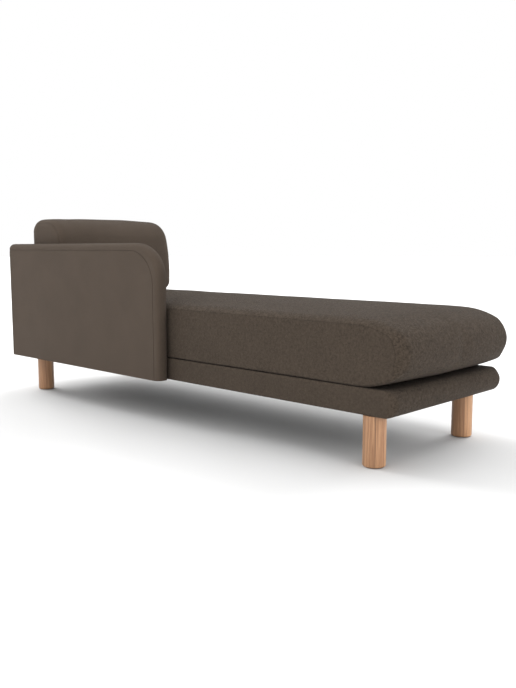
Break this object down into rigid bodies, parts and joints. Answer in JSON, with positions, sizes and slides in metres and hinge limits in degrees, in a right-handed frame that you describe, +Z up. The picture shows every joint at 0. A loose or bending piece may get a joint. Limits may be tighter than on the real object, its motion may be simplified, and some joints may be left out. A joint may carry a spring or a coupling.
{
  "type": "chaise longue",
  "caption": "Upholstered chaise longue with a panel arm on one side, a back panel, a bullnosed seat cushion, a loose back cushion and round wooden legs.",
  "frame": {"origin": "on the floor, under the middle of the chaise's overall box", "axes": "+Z up, +Y towards the head end and its back panel, +X away from the arm; the foot end faces -Y"},
  "size_m": [0.7, 2.08, 0.774],
  "materials": {
    "leg_wood": "oiled, visible straight grain",
    "frame_wood": "sawn, unfinished",
    "hardboard": "smooth one side",
    "steel": "zinc plated",
    "felt": "dense felt",
    "foam": "open-cell foam",
    "upholstery": "woven, matte taupe",
    "dust_cloth": "thin nonwoven"
  },
  "bodies": {
    "frame": {"leg_foot_near": "leg_wood", "leg_foot_far": "leg_wood", "leg_head_near": "leg_wood", "leg_head_far": "leg_wood", "leg_glides": "felt", "leg_studs": "steel", "leg_tnuts": "steel", "leg_blocks": "frame_wood", "side_rail_near": "frame_wood", "side_rail_far": "frame_wood", "foot_rail": "frame_wood", "head_rail": "frame_wood", "cross_rails": "frame_wood", "arm_packer": "frame_wood", "zigzag_springs": "steel", "spring_clips": "steel", "spring_felt": "felt", "deck_foam": "foam", "side_foam_near": "foam", "side_foam_far": "foam", "nose_foam": "foam", "base_cover": "upholstery", "dust_cover": "dust_cloth", "arm_bottom_rail": "frame_wood", "arm_rear_post": "frame_wood", "arm_front_post": "frame_wood", "arm_corner_block": "frame_wood", "arm_top_rail": "frame_wood", "arm_stud": "frame_wood", "arm_boards": "hardboard", "arm_face_foam": "foam", "arm_edge_roll": "foam", "arm_cover": "upholstery", "back_bottom_rail": "frame_wood", "back_near_post": "frame_wood", "back_far_post": "frame_wood", "back_corner_block": "frame_wood", "back_top_rail": "frame_wood", "back_stud": "frame_wood", "back_boards": "hardboard", "back_face_foam": "foam", "back_edge_roll": "foam", "back_cover": "upholstery", "arm_bolts": "steel", "arm_tnuts": "steel", "back_bolts": "steel", "back_tnuts": "steel", "corner_dowels": "frame_wood"},
    "seat_cushion": {"seat_core": "foam", "seat_topper": "foam", "seat_cover": "upholstery"},
    "back_cushion": {"back_cushion_core": "foam", "back_cushion_cover": "upholstery"}
  },
  "joints": [
    {"name": "seat_lift", "type": "slide", "parent": "frame", "child": "seat_cushion", "axis": [0, 0, 1], "range_m": [0, 0.3]},
    {"name": "back_cushion_lift", "type": "slide", "parent": "seat_cushion", "child": "back_cushion", "axis": [0, 0, 1], "range_m": [0, 0.35]}
  ]
}
